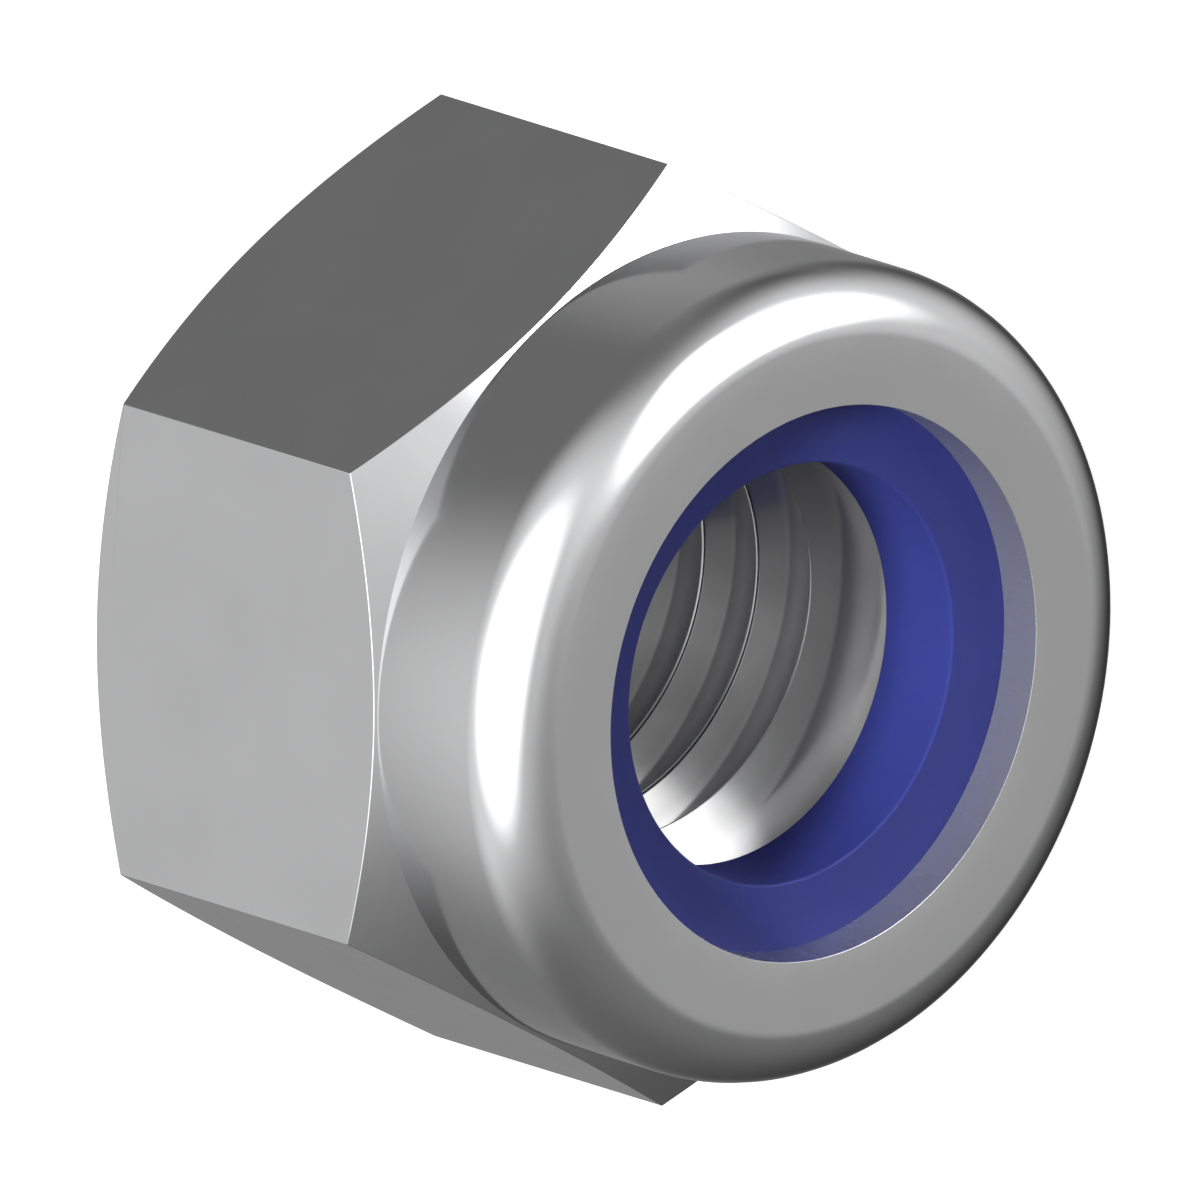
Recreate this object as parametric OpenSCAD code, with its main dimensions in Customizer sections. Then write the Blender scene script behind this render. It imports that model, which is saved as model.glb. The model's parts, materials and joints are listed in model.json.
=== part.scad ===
// Nylon insert lock nut. A hexagon nut carries a round collar on its far end.
// The collar's lip is rolled inwards over a nylon ring, which grips the bolt's thread.
// The nut stands on its bearing face, with the thread's axis along Z.

/* [Thread] */
// Nominal diameter of the bolt's thread
thread_d = 8; // [7:0.25:8.5]
// Height of the thread on the radius, from its crest in the nut to the nominal diameter
thread_h = 0.6; // [0.4:0.05:0.7]
// Step from the nominal radius out to the countersink's rim on the bearing face
countersink_step = 0.15; // [0.05:0.05:0.4]
// Slope of the countersink from the bearing face, in degrees
countersink_slope = 45; // [30:1:50]

/* [Mouth] */
// Depth of the mouth under the insert, down to the thread's last crest
mouth_h = 1.77; // [1.4:0.01:2.2]
// Step from the nominal radius out to the throat, where the mouth's cone steepens
throat_step = 0.2; // [0.05:0.05:0.3]
// Slope of the steeper cone from the bearing face, in degrees
throat_slope = 45; // [35:1:50]
// Step from the nominal radius out to the well under the insert
well_step = 0.9; // [0.5:0.05:0.9]

/* [Hexagon] */
// Width across the flats
across_flats = 13; // [12.8:0.1:16]
// Height from the bearing face to the foot of the collar
hexagon_h = 6.45; // [5.5:0.05:6.8]
// Slope of the corner chamfers from the bearing face, in degrees
chamfer_slope = 30; // [15:1:35]
// Step from the flats in to the rim of the bearing face
bearing_step = 0.05; // [0.05:0.05:0.5]

/* [Collar] */
// Overall height of the nut
nut_h = 9.5; // [9.2:0.1:11]
// Step from the flats in to the collar
collar_step = 0.05; // [0.05:0.05:0.25]
// Thickness of the collar's wall round the insert
collar_wall = 0.75; // [0.5:0.05:0.9]
// Outer radius of the bend where the wall turns in to become the lip
bend_r = 1; // [0.8:0.05:1.3]
// Thickness of the rolled lip
lip_t = 0.75; // [0.5:0.05:0.9]
// Step from the nominal radius of the thread out to the lip's edge
lip_step = 0.37; // [0.2:0.01:0.6]

/* [Insert] */
// Height of the nylon ring
insert_h = 1.55; // [1.2:0.05:1.8]
// How far the nylon stands inside the crests of the nut's thread
insert_grip = 0.09; // [0.05:0.01:0.2]
// Radius on the inner edge that meets the bolt last
insert_lead_r = 0.1; // [0.05:0.05:0.4]
// Radius on the ring's other edges
insert_edge_r = 0.05; // [0.05:0.05:0.2]
// Gap round the outside of the ring, inside its pocket
insert_gap = 0.05; // [0.02:0.01:0.1]

/* [Hidden] */
$fn = 96;
// Slope of a metric thread's flanks, which the mouth's first cone carries on, in degrees
flank_slope = 30;
// Smallest inside radius that a press tool leaves in the bend
bend_inner_min = 0.1;
// How far a cutter or a blank runs past the metal
over = 1;

apothem = across_flats / 2;
corner_r = apothem / cos(30);
bearing_r = apothem - bearing_step;
collar_r = apothem - collar_step;
blank_r = corner_r + over;

bore_r = thread_d / 2 - thread_h;
countersink_r = thread_d / 2 + countersink_step;
countersink_h = (countersink_r - bore_r) * tan(countersink_slope);
lip_r = thread_d / 2 + lip_step;

lip_z = nut_h - lip_t;
pocket_z = lip_z - insert_h;
pocket_r = collar_r - collar_wall;
bend_inner_r = max(bend_r - collar_wall, bend_inner_min);

throat_r = thread_d / 2 + throat_step;
well_r = thread_d / 2 + well_step;
mouth_z = pocket_z - mouth_h;
throat_z = mouth_z + (throat_r - bore_r) * tan(flank_slope);
well_z = throat_z + (well_r - throat_r) * tan(throat_slope);

insert_r = pocket_r - insert_gap;
insert_bore_r = bore_r - insert_grip;

// Height that a corner chamfer gains between two radii
function chamfer_rise(inner_r, outer_r) = (outer_r - inner_r) * tan(chamfer_slope);

// What a round edge takes off the corner of a section. The corner is at [r, z],
// and turn is 0 for one that faces out and up, and 90 more for each next one anticlockwise.
module round_edge(corner, edge_r, turn = 0) {
    translate(corner) rotate(turn) translate([-edge_r, -edge_r]) difference() {
        square(edge_r + over);
        circle(edge_r);
    }
}

// Half section of the turned blank: bearing chamfer, top chamfer and collar
module blank_section() {
    difference() {
        polygon([
            [0, 0],
            [bearing_r, 0],
            [blank_r, chamfer_rise(bearing_r, blank_r)],
            [blank_r, hexagon_h - chamfer_rise(collar_r, blank_r)],
            [collar_r, hexagon_h],
            [collar_r, nut_h],
            [0, nut_h]
        ]);
        round_edge([collar_r, nut_h], bend_r);
    }
}

// Half section of the way through: the countersink, the thread's bore, its mouth with two cones,
// the well, the pocket and the lip's opening
module passage_section() {
    polygon([
        [0, -over],
        [countersink_r, -over],
        [countersink_r, 0],
        [bore_r, countersink_h],
        [bore_r, mouth_z],
        [throat_r, throat_z],
        [well_r, well_z],
        [well_r, lip_z],
        [lip_r, lip_z],
        [lip_r, nut_h + over],
        [0, nut_h + over]
    ]);
    difference() {
        translate([0, pocket_z]) square([pocket_r, insert_h]);
        round_edge([pocket_r, lip_z], bend_inner_r);
    }
}

// Half section of the nylon ring
module insert_section() {
    difference() {
        translate([insert_bore_r, pocket_z]) square([insert_r - insert_bore_r, insert_h]);
        round_edge([insert_r, lip_z], bend_inner_r);
        round_edge([insert_bore_r, lip_z], insert_lead_r, 90);
        round_edge([insert_bore_r, pocket_z], insert_edge_r, 180);
        round_edge([insert_r, pocket_z], insert_edge_r, 270);
    }
}

// Steel hexagon, collar and rolled lip in one piece
module nut_body() {
    color([0.62, 0.63, 0.64]) intersection() {
        rotate_extrude() difference() {
            blank_section();
            passage_section();
        }
        rotate(30) cylinder(h = nut_h, r = corner_r, $fn = 6);
    }
}

// Blue nylon ring, held between the pocket's floor and the lip
module nylon_insert() {
    color([0.16, 0.18, 0.52]) rotate_extrude() insert_section();
}

nut_body();
nylon_insert();
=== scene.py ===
"""Nylon insert lock nut: a pressed and turned steel nut, with a blue nylon ring held in its collar.

The steel piece is one section spun round the thread's axis, cut by the six flats and tapped with
a helical groove. The ring is a second section spun round the same axis.
"""

import json
import math
from typing import NamedTuple

import bmesh
import bpy
from bpy.props import FloatProperty, FloatVectorProperty, IntProperty, PointerProperty
from mathutils import Matrix, Vector


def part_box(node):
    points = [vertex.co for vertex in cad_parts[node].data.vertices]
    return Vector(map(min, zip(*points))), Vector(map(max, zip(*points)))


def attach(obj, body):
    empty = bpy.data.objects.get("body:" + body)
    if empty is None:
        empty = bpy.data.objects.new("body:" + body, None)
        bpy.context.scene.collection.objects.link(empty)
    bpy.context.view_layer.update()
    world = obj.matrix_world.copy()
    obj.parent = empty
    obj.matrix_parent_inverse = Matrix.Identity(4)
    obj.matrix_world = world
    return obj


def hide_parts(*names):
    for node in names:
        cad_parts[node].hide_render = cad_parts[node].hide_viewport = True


bl_info = {
    "name": "Nylon Insert Lock Nut",
    "version": (1, 0, 0),
    "blender": (4, 5, 0),
    "location": "View3D > Sidebar > Lock Nut",
    "description": "Models a nylon insert lock nut, its finishes and a plain studio round it",
    "category": "Add Mesh",
}

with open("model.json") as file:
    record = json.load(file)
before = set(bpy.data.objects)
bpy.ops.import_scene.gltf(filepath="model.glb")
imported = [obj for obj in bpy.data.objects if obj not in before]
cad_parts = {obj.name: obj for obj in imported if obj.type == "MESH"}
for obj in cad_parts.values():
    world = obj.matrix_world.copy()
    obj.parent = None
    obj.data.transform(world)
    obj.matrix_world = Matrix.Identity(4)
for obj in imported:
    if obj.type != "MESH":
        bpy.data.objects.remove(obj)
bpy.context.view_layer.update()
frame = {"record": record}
MM = 0.001
AXIS = Vector((0.0, 0.0, 1.0))
CENTRE = Vector((0.0, 0.0, 0.0))

# Points closer together than this are one point
MERGE = 0.0001 * MM
# Points closer than this to the plane of a flat lie on it
ON_PLANE = 0.000001 * MM
# How far a face may lie from the surface that it is told apart by
SLACK = 0.01 * MM

# Slope of a metric thread's flanks
FLANK = math.tan(math.radians(30))
# How far the turned blank runs past the hexagon's corners
BLANK_OVER = 1.0 * MM
# Metal that the untapped bore keeps inside the crests, for the plug to cut
TAP_ALLOWANCE = 0.1 * MM
# How far the start cutter reaches inside the crests, and how far it stays under the lip
CUTTER_REACH = 0.4 * MM
CUTTER_HEADROOM = 0.1 * MM
# Slopes of the start cutter's first stretches, as shares of the thread's own, and stretches in one turn
EASING = (0.25, 0.5, 0.75)
STRETCHES = 36
# Facets of a rounded corner in a section, and of one in the thread's profile
ARC_FACETS = 10
THREAD_ARC_FACETS = 5
# Largest angle between two faces that still shade as one surface
SMOOTH_LIMIT = math.radians(16)

# Painted light on the thread's flanks, lifting the shade of their own groove: it grows between the first two
# radii and fades again between the next two
PAINTED_LIGHT_BEGINS = (3.72 * MM, 4.15 * MM)
PAINTED_LIGHT_ENDS = (4.2 * MM, 4.45 * MM)
# Between these two heights the painted light fades to a share of its strength; above them, in the mouth,
# that share lifts the dark reflection of the ring
PAINTED_LIGHT_FADES = (5.0 * MM, 5.3 * MM)
MOUTH_PAINTED_LIGHT = 0.4

# Most of a noise texture's values lie between these two
NOISE_RANGE = (0.3, 0.7)

# The framing takes the main view as 1200 pixels wide, with the centre of the lip's face at this pixel
VIEW_PIXELS = 1200
LIP_CENTRE_PIXEL = (823.59, 683.71)
# The directions on the nut that point to the right and up in the main view
VIEW_RIGHT = Vector((0.7467, 0.0056, 0.6652))
VIEW_UP = Vector((0.1751, 0.963, -0.2047))
CAMERA_DISTANCE = 0.1

# The key lamp's angles in degrees, and its strength
KEY_AZIMUTH = 168
KEY_ELEVATION = 18
KEY_SPREAD = 12
KEY_ENERGY = 2.7
# Tone of the studio between its cards, and the tone that rays other than reflected ones meet
STUDIO_TONE = 0.28
DIM_TONE = 0.15
# Light that only the camera sees, which lifts the pale floor to white
FLOOR_GLOW = 0.85

NUT_LOW, NUT_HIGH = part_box("nut_body")
RING_LOW, RING_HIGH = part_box("nylon_insert")
MOUNTS = {mount["name"]: mount for mount in frame["record"]["mounts"]}
THREAD_RADIUS = MOUNTS["thread"]["dims"]["r_mm"] * MM
RING_RADIUS = MOUNTS["insert_bore"]["dims"]["r_mm"] * MM


def length(name, description, default):
    """A size in metres that shows its unit in the sidebar."""
    return FloatProperty(
        name=name,
        description=description,
        default=default,
        min=0.0,
        subtype="DISTANCE",
        unit="LENGTH",
        precision=5,
    )


def angle(name, description, degrees):
    """An angle that the sidebar shows in degrees."""
    return FloatProperty(
        name=name,
        description=description,
        default=math.radians(degrees),
        subtype="ANGLE",
        unit="ROTATION",
    )


def colour(name, description, default):
    """A linear colour with a picker."""
    return FloatVectorProperty(
        name=name,
        description=description,
        default=default,
        size=3,
        min=0.0,
        max=1.0,
        subtype="COLOR",
    )


class NutSizes(bpy.types.PropertyGroup):
    """Sizes of the steel piece."""

    across_flats: length("Across flats", "Width of the hexagon between two flats", NUT_HIGH.x - NUT_LOW.x)
    height: length("Height", "From the bearing face to the lip", NUT_HIGH.z)
    hexagon_height: length("Hexagon height", "From the bearing face to the foot of the collar", 6.45 * MM)
    chamfer_slope: angle("Chamfer slope", "Slope of the corner chamfers from the bearing face", 30)
    turned_step: length("Turned step", "Step from the flats to the collar and the bearing face", 0.05 * MM)
    collar_wall: length("Collar wall", "Thickness of the collar round the insert", 0.75 * MM)
    bend_radius: length("Bend radius", "Outer radius where the collar's wall turns in", 1.0 * MM)
    lip_thickness: length("Lip thickness", "Thickness of the rolled lip", 0.75 * MM)
    lip_step: length("Lip step", "From the thread's nominal radius out to the lip's edge", 0.37 * MM)
    thread_diameter: length("Thread diameter", "Nominal diameter of the bolt", 8.0 * MM)
    thread_pitch: length("Thread pitch", "Rise of the thread in one turn", 1.25 * MM)
    crest_radius: length("Crest radius", "Radius to the thread's crests", THREAD_RADIUS)
    crest_width: length("Crest width", "Flat left at the thread's crests", 0.08 * MM)
    crest_round: length("Crest round", "Rounding at the thread's crests", 0.03 * MM)
    root_clearance: length("Root clearance", "How far the thread's root lies outside the bolt", 0.2 * MM)
    root_round: length("Root round", "Rounding at the thread's root", 0.1 * MM)
    crest_height: length("Crest height", "Height of one crest on the +X side", 5.386 * MM)
    countersink_step: length("Countersink step", "From the nominal radius out to the lower rim", 0.15 * MM)
    mouth_height: length("Mouth height", "Height at which the mouth's cone meets the crests", 5.43 * MM)
    throat_step: length("Throat step", "From the nominal radius out to where the cone steepens", 0.2 * MM)
    throat_round: length("Throat round", "Rounding where the cone steepens", 0.3 * MM)
    throat_slope: angle("Throat slope", "Slope of the cone from there up to the well", 45)
    well_step: length("Well step", "From the nominal radius out to the well under the ring", 0.9 * MM)
    start_sweep: angle("Thread start", "Sweep of the cut that opens the last groove to the ring", 170)
    start_depth: length("Start depth", "How far that cut lies under the last crest's flank", 0.03 * MM)
    edge_break: length("Edge break", "Rounding on the edges of the hexagon and the lip", 0.01 * MM)
    steps: IntProperty(name="Steps", description="Facets in one turn", default=192, min=24, max=360)


class RingSizes(bpy.types.PropertyGroup):
    """Sizes of the nylon ring."""

    bore_radius: length("Bore radius", "Radius of the ring's bore", RING_RADIUS)
    lead_radius: length("Lead radius", "Rounding on the inner edge that faces the lip", 0.05 * MM)
    edge_radius: length("Edge radius", "Rounding on the other edges", 0.05 * MM)
    steps: IntProperty(name="Steps", description="Facets in one turn", default=192, min=24, max=360)


class Finishes(bpy.types.PropertyGroup):
    """Colours of the steel and the nylon, with the thread's painted shade and painted light."""

    steel: colour("Steel", "Colour of the bright steel", (0.62, 0.622, 0.63))
    # Painted shade: the thread's steel is drawn much darker than the bright steel, for the shade in the bore
    tapped: colour("Thread steel, painted dark for shade", "Colour of the steel in the thread", (0.1, 0.1, 0.103))
    sheared: colour("Sheared steel", "Colour of the steel on the lip's edge", (0.52, 0.525, 0.54))
    # Painted light: the thread's steel drawn lighter towards its roots and in the mouth, against the
    # groove's own shade
    painted_light: colour("Thread steel, painted light at the roots", "Colour of the steel at the thread's roots", (0.45, 0.45, 0.46))
    nylon: colour("Nylon", "Colour of the nylon", (0.05, 0.064, 0.335))


class StudioSizes(bpy.types.PropertyGroup):
    """The floor and the framing of the main view."""

    view_width: length("View width", "Width of the frame", 18.41 * MM)
    floor_size: length("Floor size", "Side of the square floor", 1.0)


def turn_outwards(bm):
    """Turns every face of a closed skin outwards, so that its volume is positive."""
    bmesh.ops.recalc_face_normals(bm, faces=bm.faces)
    if bm.calc_volume(signed=True) < 0:
        bmesh.ops.reverse_faces(bm, faces=bm.faces)


def finish_bmesh(bm, name):
    """Turns a bmesh into an object of its own."""
    bmesh.ops.remove_doubles(bm, verts=bm.verts, dist=MERGE)
    turn_outwards(bm)
    mesh = bpy.data.meshes.new(name)
    bm.to_mesh(mesh)
    bm.free()
    obj = bpy.data.objects.new(name, mesh)
    bpy.context.scene.collection.objects.link(obj)
    return obj


def round_corner(bm, vert, rounding, segments):
    """Rounds one corner of an outline."""
    bmesh.ops.bevel(
        bm,
        geom=[vert],
        offset=rounding,
        offset_type="OFFSET",
        segments=segments,
        profile=0.5,
        affect="VERTICES",
        clamp_overlap=True,
        material=-1,
    )


def section_face(bm, corners):
    """A flat section in the XZ plane, one corner for each (radius, height, rounding)."""
    verts = [bm.verts.new((radius, 0.0, height)) for radius, height, _ in corners]
    bm.faces.new(verts)
    for vert, (_, _, rounding) in zip(verts, corners):
        if rounding:
            round_corner(bm, vert, rounding, ARC_FACETS)


def spin_section(bm, steps):
    """Spins the outline of every face round the axis into a closed skin."""
    bmesh.ops.delete(bm, geom=bm.faces[:], context="FACES_ONLY")
    bmesh.ops.spin(
        bm,
        geom=bm.verts[:] + bm.edges[:],
        cent=CENTRE,
        axis=AXIS,
        dvec=(0.0, 0.0, 0.0),
        angle=math.tau,
        steps=steps,
        use_merge=True,
        use_duplicate=False,
    )
    bmesh.ops.remove_doubles(bm, verts=bm.verts, dist=MERGE)


def mouth_section(nut, height, inner):
    """Corners of the mouth, from the well in, for a cone that meets the thread's crests at a height."""
    well = nut.thread_diameter / 2 + nut.well_step
    throat = nut.thread_diameter / 2 + nut.throat_step
    throat_height = height + (throat - nut.crest_radius) * FLANK
    return [
        (well, throat_height + (well - throat) * math.tan(nut.throat_slope), 0.0),
        (throat, throat_height, nut.throat_round),
        (inner, height - (nut.crest_radius - inner) * FLANK, 0.0),
    ]


def nut_section(nut):
    """Corners of the steel piece's section, anticlockwise from the rim of the lower countersink."""
    apothem = nut.across_flats / 2
    turned_radius = apothem - nut.turned_step
    blank_radius = apothem / math.cos(math.pi / 6) + BLANK_OVER
    rise = (blank_radius - turned_radius) * math.tan(nut.chamfer_slope)
    nominal = nut.thread_diameter / 2
    rim = nominal + nut.countersink_step
    bore = nut.crest_radius - TAP_ALLOWANCE
    lip = nominal + nut.lip_step
    pocket = turned_radius - nut.collar_wall
    return [
        (rim, 0.0, 0.0),
        (turned_radius, 0.0, 0.0),
        (blank_radius, rise, 0.0),
        (blank_radius, nut.hexagon_height - rise, 0.0),
        (turned_radius, nut.hexagon_height, 0.0),
        (turned_radius, nut.height, nut.bend_radius),
        (lip, nut.height, nut.edge_break),
        (lip, nut.height - nut.lip_thickness, nut.edge_break),
        (pocket, nut.height - nut.lip_thickness, nut.bend_radius - nut.collar_wall),
        (pocket, RING_LOW.z, 0.0),
        (nominal + nut.well_step, RING_LOW.z, 0.0),
        *mouth_section(nut, nut.mouth_height, bore),
        (bore, rim - bore, 0.0),
    ]


def cut_flats(obj, nut):
    """Cuts the six flats, which become the largest faces, and breaks their edges."""
    bm = bmesh.new()
    bm.from_mesh(obj.data)
    bmesh.ops.remove_doubles(bm, verts=bm.verts, dist=MERGE)
    for side in range(6):
        outward = Matrix.Rotation(side * math.pi / 3, 3, "Z") @ Vector((1.0, 0.0, 0.0))
        cut = bmesh.ops.bisect_plane(
            bm,
            geom=bm.verts[:] + bm.edges[:] + bm.faces[:],
            dist=ON_PLANE,
            plane_co=outward * nut.across_flats / 2,
            plane_no=outward,
            clear_outer=True,
            clear_inner=False,
        )
        rim = [item for item in cut["geom_cut"] if isinstance(item, bmesh.types.BMEdge)]
        bmesh.ops.edgeloop_fill(bm, edges=rim, mat_nr=0, use_smooth=False)
    turn_outwards(bm)
    flats = set(sorted(bm.faces, key=lambda face: face.calc_area())[-6:])
    bmesh.ops.bevel(
        bm,
        geom=[edge for edge in bm.edges if not flats.isdisjoint(edge.link_faces)],
        offset=nut.edge_break,
        offset_type="OFFSET",
        segments=2,
        profile=0.5,
        affect="EDGES",
        clamp_overlap=True,
        material=-1,
    )
    bm.to_mesh(obj.data)
    bm.free()


def thread_plug(nut):
    """A threaded plug with the thread's full form, longer than the bore at both ends."""
    pitch = nut.thread_pitch
    crest = nut.crest_radius
    root = nut.thread_diameter / 2 + nut.root_clearance
    half_crest = nut.crest_width / 2
    root_start = half_crest + (root - crest) * FLANK
    first = nut.crest_height % pitch - 2 * pitch
    turns = math.ceil(RING_HIGH.z / pitch) + 1
    bm = bmesh.new()
    outline = (
        (crest, 0.0, 0.0),
        (crest, half_crest, nut.crest_round),
        (root, root_start, nut.root_round),
        (root, pitch - root_start, nut.root_round),
        (crest, pitch - half_crest, nut.crest_round),
        (crest, pitch, 0.0),
    )
    verts = [bm.verts.new((radius, 0.0, first + height)) for radius, height, _ in outline]
    for lower, upper in zip(verts, verts[1:]):
        bm.edges.new((lower, upper))
    for vert, (_, _, rounding) in zip(verts, outline):
        if rounding:
            round_corner(bm, vert, rounding, THREAD_ARC_FACETS)
    bmesh.ops.spin(
        bm,
        geom=bm.verts[:] + bm.edges[:],
        cent=CENTRE,
        axis=AXIS,
        dvec=(0.0, 0.0, pitch / nut.steps),
        angle=math.tau,
        steps=nut.steps,
        use_merge=False,
        use_duplicate=False,
    )
    first_turn = bm.verts[:] + bm.edges[:] + bm.faces[:]
    for turn in range(1, turns):
        copy = bmesh.ops.duplicate(bm, geom=first_turn)
        moved = [item for item in copy["geom"] if isinstance(item, bmesh.types.BMVert)]
        bmesh.ops.translate(bm, verts=moved, vec=(0.0, 0.0, turn * pitch))
    bmesh.ops.remove_doubles(bm, verts=bm.verts, dist=MERGE)
    bmesh.ops.holes_fill(bm, edges=[edge for edge in bm.edges if edge.is_boundary], sides=0)
    return finish_bmesh(bm, "thread_plug")


def start_cutter(nut):
    """A ramp just under the last crest's upper flank, which opens the groove above it to the ring.

    It leaves the mouth gently: its slope grows to the thread's own over a few short stretches.
    """
    inner = nut.crest_radius - CUTTER_REACH
    drop = nut.mouth_height - nut.crest_height - nut.crest_width / 2 + nut.start_depth
    bm = bmesh.new()
    mouth = mouth_section(nut, nut.mouth_height, inner)
    well = mouth[0][0]
    top = RING_HIGH.z - CUTTER_HEADROOM
    section_face(bm, [(well, top, 0.0), *mouth, (inner, top, 0.0)])
    stretches = [(share, nut.steps // STRETCHES) for share in EASING]
    stretches.append((1.0, round(nut.steps * nut.start_sweep / math.tau)))
    end = bm.verts[:] + bm.edges[:] + bm.faces[:]
    lag = 0.0
    for share, steps in stretches:
        spun = bmesh.ops.spin(
            bm,
            geom=end,
            cent=CENTRE,
            axis=-AXIS,
            dvec=(0.0, 0.0, -share * nut.thread_pitch / nut.steps),
            angle=math.tau * steps / nut.steps,
            steps=steps,
            use_merge=False,
            use_duplicate=False,
        )
        end = spun["geom_last"]
        lag += (1 - share) * steps
    turn = math.tau * (drop / nut.thread_pitch + lag / nut.steps)
    bmesh.ops.rotate(bm, verts=bm.verts, cent=CENTRE, matrix=Matrix.Rotation(turn, 3, "Z"))
    return finish_bmesh(bm, "start_cutter")


def bake_modifiers(obj):
    """Applies an object's modifiers to its own mesh."""
    graph = bpy.context.evaluated_depsgraph_get()
    mesh = bpy.data.meshes.new_from_object(obj.evaluated_get(graph))
    obj.modifiers.clear()
    old = obj.data
    obj.data = mesh
    bpy.data.meshes.remove(old)
    obj.data.name = obj.name


def cut_with(obj, cutter):
    """Takes the cutter's solid out of an object and deletes the cutter. A cut that fails is an error."""
    faces_before = len(obj.data.polygons)
    boolean = obj.modifiers.new("Tapping", "BOOLEAN")
    boolean.operation = "DIFFERENCE"
    boolean.solver = "MANIFOLD"
    boolean.object = cutter
    bpy.context.view_layer.update()
    bake_modifiers(obj)
    if len(obj.data.polygons) in (0, faces_before):
        raise RuntimeError(f"{cutter.name} can't be cut out of {obj.name}")
    mesh = cutter.data
    bpy.data.objects.remove(cutter)
    bpy.data.meshes.remove(mesh)


def smooth_by_angle(obj):
    """Smooth shading that breaks at sharp edges, weighted so that plane faces stay plane."""
    bm = bmesh.new()
    bm.from_mesh(obj.data)
    for face in bm.faces:
        face.smooth = True
    for edge in bm.edges:
        edge.smooth = edge.is_manifold and edge.calc_face_angle(0.0) < SMOOTH_LIMIT
    bm.to_mesh(obj.data)
    bm.free()
    weighted = obj.modifiers.new("Plane faces", "WEIGHTED_NORMAL")
    weighted.mode = "FACE_AREA"
    weighted.keep_sharp = True


def principled(name):
    """A new material, with its node tree and its shader."""
    material = bpy.data.materials.new(name)
    material.use_nodes = True
    tree = material.node_tree
    return material, tree, tree.nodes["Principled BSDF"]


def set_sockets(tree, sockets, values):
    """Links each value that is a socket, and sets the others."""
    for socket, value in zip(sockets, values):
        if isinstance(value, bpy.types.NodeSocket):
            tree.links.new(value, socket)
        else:
            socket.default_value = value


def math_node(tree, operation, first, second):
    """The result of one operation on two values, each a number or a socket."""
    node = tree.nodes.new("ShaderNodeMath")
    node.operation = operation
    set_sockets(tree, node.inputs, (first, second))
    return node.outputs[0]


def ramp(tree, value, low, high, start=0.0, end=1.0):
    """A smooth change from one value to another as the input goes from low to high."""
    node = tree.nodes.new("ShaderNodeMapRange")
    node.interpolation_type = "SMOOTHSTEP"
    tree.links.new(value, node.inputs["Value"])
    for key, number in (("From Min", low), ("From Max", high), ("To Min", start), ("To Max", end)):
        node.inputs[key].default_value = number
    return node.outputs["Result"]


def blend(tree, factor, first, second, kind="RGBA"):
    """A mix of two colours or two values, each a constant or a socket."""
    node = tree.nodes.new("ShaderNodeMix")
    node.data_type = kind
    tree.links.new(factor, node.inputs[0])
    # The node keeps sockets 2 and 3 for values, and 6 and 7 for colours
    pair = node.inputs[6:8] if kind == "RGBA" else node.inputs[2:4]
    set_sockets(tree, pair, (first, second))
    return node.outputs[2 if kind == "RGBA" else 0]


def object_place(tree, stretch=(1.0, 1.0, 1.0)):
    """The point on the object, with each of its coordinates multiplied by a number."""
    place = tree.nodes.new("ShaderNodeTexCoord").outputs["Object"]
    scaled = tree.nodes.new("ShaderNodeVectorMath")
    scaled.operation = "MULTIPLY"
    scaled.inputs[1].default_value = stretch
    tree.links.new(place, scaled.inputs[0])
    return scaled.outputs["Vector"]


def mottle(tree, place, grain, first, second, kind="FLOAT"):
    """A value or a colour that wanders between two others, in patches about as large as the grain."""
    noise = tree.nodes.new("ShaderNodeTexNoise")
    noise.inputs["Scale"].default_value = 1 / grain
    tree.links.new(place, noise.inputs["Vector"])
    return blend(tree, ramp(tree, noise.outputs["Fac"], *NOISE_RANGE), first, second, kind)


def shades(base, spread):
    """A darker and a lighter shade of a colour, each apart from it by the same share."""
    return [(*(part * factor for part in base), 1.0) for factor in (1 - spread, 1 + spread)]


def distance(tree, vector):
    """The length of a vector."""
    node = tree.nodes.new("ShaderNodeVectorMath")
    node.operation = "LENGTH"
    tree.links.new(vector, node.inputs[0])
    return node.outputs["Value"]


def steel_material(finishes):
    """Bright steel, with faint clouds in its polish."""
    material, tree, shader = principled("bright_steel")
    place = object_place(tree)
    base = mottle(tree, place, 2.0 * MM, *shades(finishes.steel, 0.015), "RGBA")
    tree.links.new(base, shader.inputs["Base Color"])
    tree.links.new(mottle(tree, place, 0.8 * MM, 0.105, 0.135), shader.inputs["Roughness"])
    shader.inputs["Metallic"].default_value = 1.0
    shader.inputs["Specular Tint"].default_value = (0.75, 0.75, 0.75, 1.0)
    return material


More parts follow.
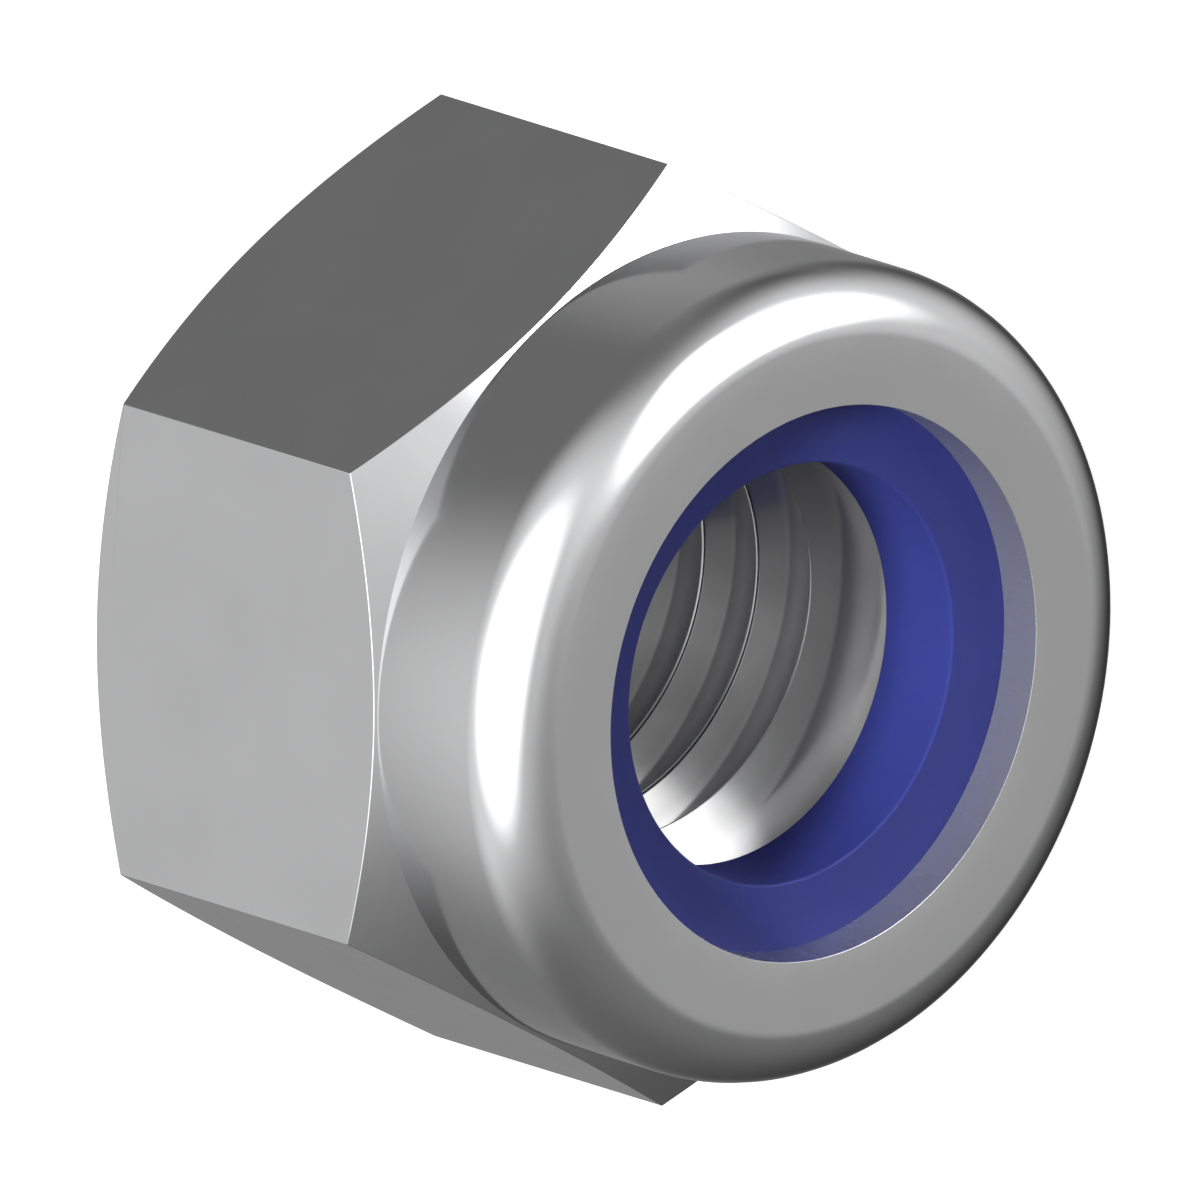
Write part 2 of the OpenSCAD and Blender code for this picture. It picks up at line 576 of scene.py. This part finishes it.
def thread_shade_and_light_material(finishes):
    """Steel of the thread, painted dark for the shade in the bore, painted lighter towards its roots and in
    the mouth against the groove's own shade and the ring's dark reflection, with a film of oil.
    """
    material, tree, shader = principled("thread_painted_shade_and_light")
    place = object_place(tree)
    radius = distance(tree, object_place(tree, (1.0, 1.0, 0.0)))
    split = tree.nodes.new("ShaderNodeSeparateXYZ")
    tree.links.new(place, split.inputs["Vector"])
    # Painted light: a mask that lightens the flanks near the roots, and at a share in the mouth, against the
    # groove's shade and the ring's dark reflection
    near_root = ramp(tree, radius, *PAINTED_LIGHT_BEGINS)
    inside_throat = ramp(tree, radius, *PAINTED_LIGHT_ENDS, 1.0, 0.0)
    below_mouth = ramp(tree, split.outputs["Z"], *PAINTED_LIGHT_FADES, 1.0, MOUTH_PAINTED_LIGHT)
    across = math_node(tree, "MULTIPLY", near_root, inside_throat)
    painted_light = math_node(tree, "MULTIPLY", across, below_mouth)
    base = blend(tree, painted_light, (*finishes.tapped, 1.0), (*finishes.painted_light, 1.0))
    tree.links.new(base, shader.inputs["Base Color"])
    tree.links.new(mottle(tree, place, 0.5 * MM, 0.42, 0.48), shader.inputs["Roughness"])
    shader.inputs["Metallic"].default_value = 1.0
    shader.inputs["Coat Weight"].default_value = 1.0
    shader.inputs["Coat Roughness"].default_value = 0.08
    shader.inputs["Coat IOR"].default_value = 1.75
    return material


def edge_material(finishes):
    """Dull steel of the lip's sheared edge, with faint streaks along the shear."""
    material, tree, shader = principled("sheared_steel")
    streaks = object_place(tree, (1.0, 1.0, 0.3))
    base = mottle(tree, streaks, 0.4 * MM, *shades(finishes.sheared, 0.01), "RGBA")
    tree.links.new(base, shader.inputs["Base Color"])
    tree.links.new(mottle(tree, streaks, 0.5 * MM, 0.26, 0.28), shader.inputs["Roughness"])
    shader.inputs["Metallic"].default_value = 0.65
    return material


def nylon_material(finishes):
    """Blue nylon, a little uneven in its colour and its gloss."""
    material, tree, shader = principled("blue_nylon")
    place = object_place(tree)
    base = mottle(tree, place, 1.2 * MM, *shades(finishes.nylon, 0.03), "RGBA")
    tree.links.new(base, shader.inputs["Base Color"])
    tree.links.new(mottle(tree, place, 0.6 * MM, 0.56, 0.64), shader.inputs["Roughness"])
    shader.inputs["Specular IOR Level"].default_value = 0.35
    shader.inputs["Subsurface Weight"].default_value = 0.4
    shader.inputs["Subsurface Radius"].default_value = (1.0, 1.0, 1.0)
    shader.inputs["Subsurface Scale"].default_value = 0.3 * MM
    return material


def paint_faces(mesh, nut):
    """Gives the thread and its mouth the second material, and the lip's edge the third."""
    nominal = nut.thread_diameter / 2
    crest = nut.crest_radius + SLACK
    well = nominal + nut.well_step + SLACK
    lip = nominal + nut.lip_step + SLACK
    for face in mesh.polygons:
        radius = face.center.to_2d().length
        height = face.center.z
        # The thread and its mouth take the second material, whose dark colour is painted shade and whose
        # lighter roots are painted light
        if crest <= radius < well and SLACK < height < RING_LOW.z - SLACK:
            face.material_index = 1
        elif radius < lip and height > RING_HIGH.z:
            face.material_index = 2
        else:
            face.material_index = 0


class LOCKNUT_OT_steel_nut(bpy.types.Operator):
    """Model the steel hexagon, collar and rolled lip, with its thread"""

    bl_idname = "locknut.steel_nut"
    bl_label = "Steel Nut"
    bl_options = {"REGISTER", "UNDO"}

    def execute(self, context):
        nut = context.scene.locknut_nut
        bm = bmesh.new()
        section_face(bm, nut_section(nut))
        spin_section(bm, nut.steps)
        obj = finish_bmesh(bm, "steel_nut")
        cut_with(obj, thread_plug(nut))
        cut_with(obj, start_cutter(nut))
        cut_flats(obj, nut)
        smooth_by_angle(obj)
        finishes = context.scene.locknut_finishes
        obj.data.materials.clear()
        for make_material in (steel_material, thread_shade_and_light_material, edge_material):
            obj.data.materials.append(make_material(finishes))
        paint_faces(obj.data, nut)
        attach(obj, "root")
        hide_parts("nut_body")
        return {"FINISHED"}


class LOCKNUT_OT_nylon_ring(bpy.types.Operator):
    """Model the blue nylon ring in the collar"""

    bl_idname = "locknut.nylon_ring"
    bl_label = "Nylon Ring"
    bl_options = {"REGISTER", "UNDO"}

    def execute(self, context):
        ring = context.scene.locknut_ring
        nut = context.scene.locknut_nut
        bm = bmesh.new()
        section_face(
            bm,
            [
                (ring.bore_radius, RING_LOW.z, ring.edge_radius),
                (RING_HIGH.x, RING_LOW.z, ring.edge_radius),
                (RING_HIGH.x, RING_HIGH.z, nut.bend_radius - nut.collar_wall),
                (ring.bore_radius, RING_HIGH.z, ring.lead_radius),
            ],
        )
        spin_section(bm, ring.steps)
        obj = finish_bmesh(bm, "nylon_ring")
        smooth_by_angle(obj)
        obj.data.materials.append(nylon_material(context.scene.locknut_finishes))
        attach(obj, "root")
        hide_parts("nylon_insert")
        return {"FINISHED"}


class LOCKNUT_OT_studio(bpy.types.Operator):
    """Lay the floor and set up the camera, the lamps and the world"""

    bl_idname = "locknut.studio"
    bl_label = "Studio"
    bl_options = {"REGISTER", "UNDO"}

    def execute(self, context):
        studio = context.scene.locknut_studio
        bm = bmesh.new()
        bmesh.ops.create_grid(bm, x_segments=1, y_segments=1, size=studio.floor_size / 2)
        floor = finish_bmesh(bm, "floor")
        floor.data.materials.append(floor_material())
        floor.visible_glossy = False
        set_camera(context.scene, studio)
        set_lamp(context.scene)
        set_world(context.scene)
        return {"FINISHED"}


def set_camera(scene, studio):
    """An orthographic camera, turned so that the nut's axis points right and a little down."""
    right = VIEW_RIGHT.normalized()
    back = right.cross(VIEW_UP).normalized()
    up = back.cross(right)
    camera = bpy.data.objects.new("camera", bpy.data.cameras.new("camera"))
    scene.collection.objects.link(camera)
    camera.data.type = "ORTHO"
    camera.data.ortho_scale = studio.view_width
    camera.data.clip_start = 1.0 * MM
    camera.data.clip_end = 10.0
    pixel = studio.view_width / VIEW_PIXELS
    across, down = (VIEW_PIXELS / 2 - place for place in LIP_CENTRE_PIXEL)
    target = AXIS * NUT_HIGH.z + (right * across - up * down) * pixel
    turn = Matrix((right, up, back)).transposed().to_4x4()
    camera.matrix_world = Matrix.Translation(target + back * CAMERA_DISTANCE) @ turn
    scene.camera = camera


def facing(azimuth, elevation):
    """The turn that takes the +X direction to an azimuth and an elevation, in degrees."""
    return Matrix.Rotation(math.radians(azimuth), 3, "Z") @ Matrix.Rotation(math.radians(-elevation), 3, "Y")


def set_lamp(scene):
    """A broad key lamp from the left of the view."""
    key = bpy.data.objects.new("key", bpy.data.lights.new("key", "SUN"))
    scene.collection.objects.link(key)
    key.data.energy = KEY_ENERGY
    key.data.angle = math.radians(KEY_SPREAD)
    towards = facing(KEY_AZIMUTH, KEY_ELEVATION) @ Vector((1.0, 0.0, 0.0))
    key.matrix_world = towards.to_track_quat("Z", "Y").to_matrix().to_4x4()
    key.visible_glossy = False


def floor_material():
    """A pale floor that the camera sees as white, with the nut's shadow on it."""
    material, tree, shader = principled("pale_floor")
    shader.inputs["Base Color"].default_value = (0.8, 0.8, 0.8, 1.0)
    shader.inputs["Roughness"].default_value = 0.9
    camera_ray = tree.nodes.new("ShaderNodeLightPath").outputs["Is Camera Ray"]
    shader.inputs["Emission Color"].default_value = (1.0, 1.0, 1.0, 1.0)
    tree.links.new(math_node(tree, "MULTIPLY", camera_ray, FLOOR_GLOW), shader.inputs["Emission Strength"])
    return material


class Card(NamedTuple):
    """A soft oval card or lamp round the nut, with its angles in degrees."""

    azimuth: float
    elevation: float
    half_width: float
    half_height: float
    roll: float
    softness: float
    brightness: float


def lay_card(tree, tone, card):
    """Lays a card over the tone of the studio behind it."""
    out, east, north = facing(card.azimuth, card.elevation).transposed()
    turn = Matrix((east, north, out)).transposed() @ Matrix.Rotation(math.radians(card.roll), 3, "Z")
    mapping = tree.nodes.new("ShaderNodeMapping")
    mapping.vector_type = "TEXTURE"
    mapping.inputs["Location"].default_value = out
    mapping.inputs["Rotation"].default_value = turn.to_euler()
    depth = max(card.half_width, card.half_height)
    extents = (card.half_width, card.half_height, depth)
    mapping.inputs["Scale"].default_value = [math.radians(extent) for extent in extents]
    tree.links.new(tree.nodes["Texture Coordinate"].outputs["Generated"], mapping.inputs["Vector"])
    reach = distance(tree, mapping.outputs["Vector"])
    covered = ramp(tree, reach, 1 - card.softness, 1 + card.softness, 1.0, 0.0)
    return blend(tree, covered, tone, card.brightness, "FLOAT")


STUDIO_CARDS = (
    # A tall pale card on the +X side
    Card(20, -29, 19, 83, 20, 0.39, 0.72),
    # A broad black card over its foot
    Card(-11, -26, 71, 35, -12, 1.0, 0.05),
    # A white wall on the camera's side
    Card(164, -16, 57, 92, 2, 0.2, 1.02),
    # A broad white card high on the +Y side
    Card(72, 45, 62, 36, 26, 0.45, 1.05),
    # A long dark card low on the +Y side
    Card(115, -61, 31, 84, 22, 0.5, 0.21),
    # A narrow white strip overhead
    Card(53, 69, 31, 11, 7, 1.0, 1.11),
    # A grey card round the camera
    Card(165, 47, 26, 16, 69, 0.95, 0.47),
    # A small grey card high on the +X side
    Card(335, 45, 7, 6, 2, 0.7, 0.48),
    # A lamp low on the camera's side
    Card(176, 19, 35, 44, 15, 0.22, 2.4),
    # A lamp high between the +X and +Y sides, and its bright core
    Card(48, 46, 27, 24, 45, 0.3, 2.4),
    Card(51, 52, 23, 15, -30, 0.45, 10.0),
)


def set_world(scene):
    """A white world to the camera, and a soft studio of cards and lamps to the metal."""
    world = bpy.data.worlds.new("studio")
    scene.world = world
    world.use_nodes = True
    tree = world.node_tree
    tree.nodes.new("ShaderNodeTexCoord")
    tone = STUDIO_TONE
    for card in STUDIO_CARDS:
        tone = lay_card(tree, tone, card)
    rays = tree.nodes.new("ShaderNodeLightPath")
    lit = blend(tree, rays.outputs["Is Glossy Ray"], DIM_TONE, tone, "FLOAT")
    seen = blend(tree, rays.outputs["Is Camera Ray"], lit, 1.0, "FLOAT")
    background = tree.nodes["Background"]
    background.inputs["Color"].default_value = (1.0, 1.0, 1.0, 1.0)
    tree.links.new(seen, background.inputs["Strength"])
    scene.view_settings.view_transform = "Standard"


class LOCKNUT_PT_panel(bpy.types.Panel):
    """Operators and sizes of the lock nut"""

    bl_label = "Lock Nut"
    bl_idname = "LOCKNUT_PT_panel"
    bl_space_type = "VIEW_3D"
    bl_region_type = "UI"
    bl_category = "Lock Nut"

    def draw(self, context):
        for operator in OPERATORS:
            self.layout.operator(operator.bl_idname)
        for attribute, group in SETTINGS.items():
            settings = getattr(context.scene, attribute)
            box = self.layout.box()
            box.label(text=group.__doc__)
            for key in group.__annotations__:
                box.prop(settings, key)


SETTINGS = {
    "locknut_nut": NutSizes,
    "locknut_ring": RingSizes,
    "locknut_finishes": Finishes,
    "locknut_studio": StudioSizes,
}
OPERATORS = (LOCKNUT_OT_steel_nut, LOCKNUT_OT_nylon_ring, LOCKNUT_OT_studio)
CLASSES = (*SETTINGS.values(), *OPERATORS, LOCKNUT_PT_panel)


def register():
    for cls in CLASSES:
        bpy.utils.register_class(cls)
    for attribute, group in SETTINGS.items():
        setattr(bpy.types.Scene, attribute, PointerProperty(type=group))


def unregister():
    for attribute in SETTINGS:
        delattr(bpy.types.Scene, attribute)
    for cls in reversed(CLASSES):
        bpy.utils.unregister_class(cls)


def main():
    register()
    bpy.ops.locknut.steel_nut()
    bpy.ops.locknut.nylon_ring()
    bpy.ops.locknut.studio()


if __name__ == "__main__":
    main()
